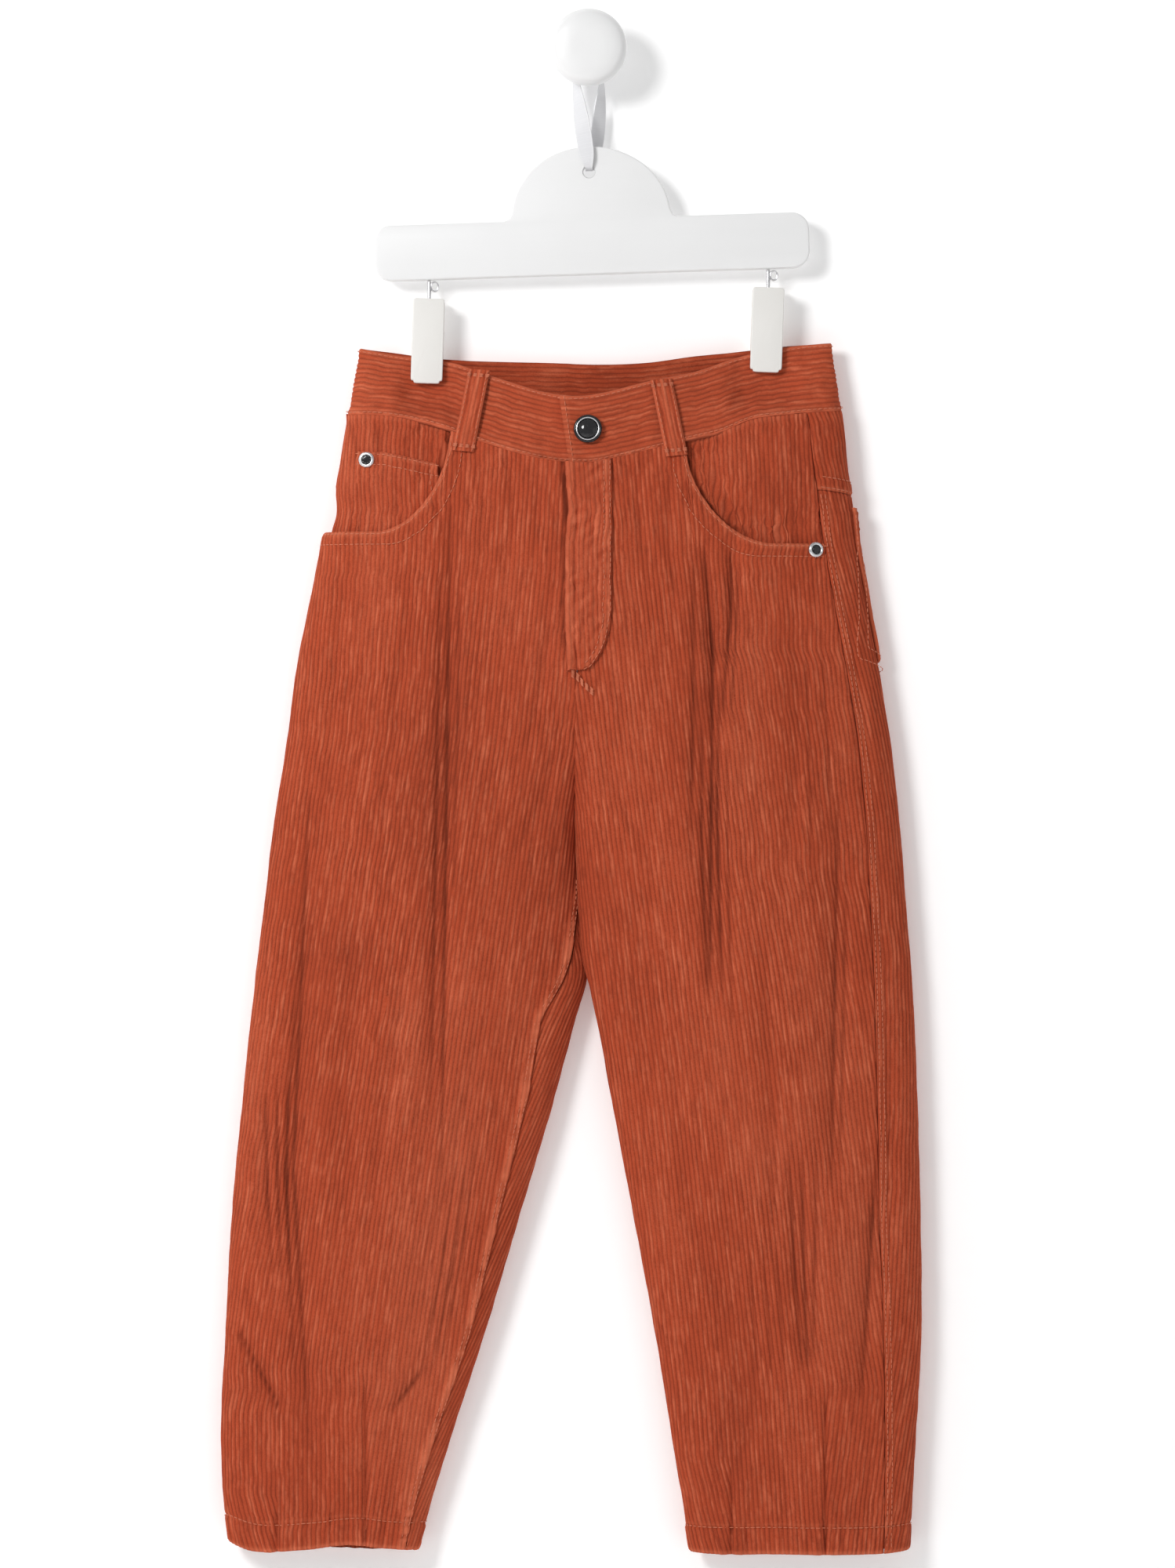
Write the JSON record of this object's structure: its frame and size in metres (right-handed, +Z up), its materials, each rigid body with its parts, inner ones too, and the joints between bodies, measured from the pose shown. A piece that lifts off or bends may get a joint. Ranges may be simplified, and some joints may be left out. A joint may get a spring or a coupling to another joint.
{
  "type": "child's corduroy trousers clipped to a board hanger on a wall knob",
  "caption": "Balloon-leg corduroy trousers with five pockets, held flat by clips on a white board hanger that hangs by a ribbon from a round wall knob.",
  "frame": {"origin": "middle of the wall knob's back face, on the wall plane, where the knob is screwed to a wall and holds everything up", "axes": "+Z up along the garment's length, +Y into the wall, +X to the right seen from the front"},
  "size_m": [0.4028, 0.046, 0.8861],
  "materials": {
    "corduroy": "rust cotton corduroy, brushed pile",
    "black_cap": "glossy domed cap",
    "steel": "polished nickel plate",
    "white_wood": "white satin lacquer",
    "ribbon": "white satin ribbon",
    "white_plastic": "satin warm white"
  },
  "bodies": {
    "root": {"front_right": "corduroy", "front_left": "corduroy", "back_right": "corduroy", "back_left": "corduroy", "yoke_right": "corduroy", "yoke_left": "corduroy", "pocket_facing_right": "corduroy", "pocket_facing_left": "corduroy", "coin_pocket": "corduroy", "fly": "corduroy", "back_pocket_right": "corduroy", "back_pocket_left": "corduroy", "waistband": "corduroy", "belt_loop_front_right": "corduroy", "belt_loop_front_left": "corduroy", "belt_loop_back_right": "corduroy", "belt_loop_back_centre": "corduroy", "belt_loop_back_left": "corduroy", "button_cap": "black_cap", "button_rim": "steel", "rivet_coin_pocket": "steel", "rivet_pocket_left": "steel", "rivet_pocket_right": "steel", "wall_knob": "white_wood", "hanger_board": "white_wood", "ribbon_loop": "ribbon", "clip_right_front_jaw": "white_plastic", "clip_right_back_jaw": "white_plastic", "clip_left_front_jaw": "white_plastic", "clip_left_back_jaw": "white_plastic"}
  },
  "joints": []
}
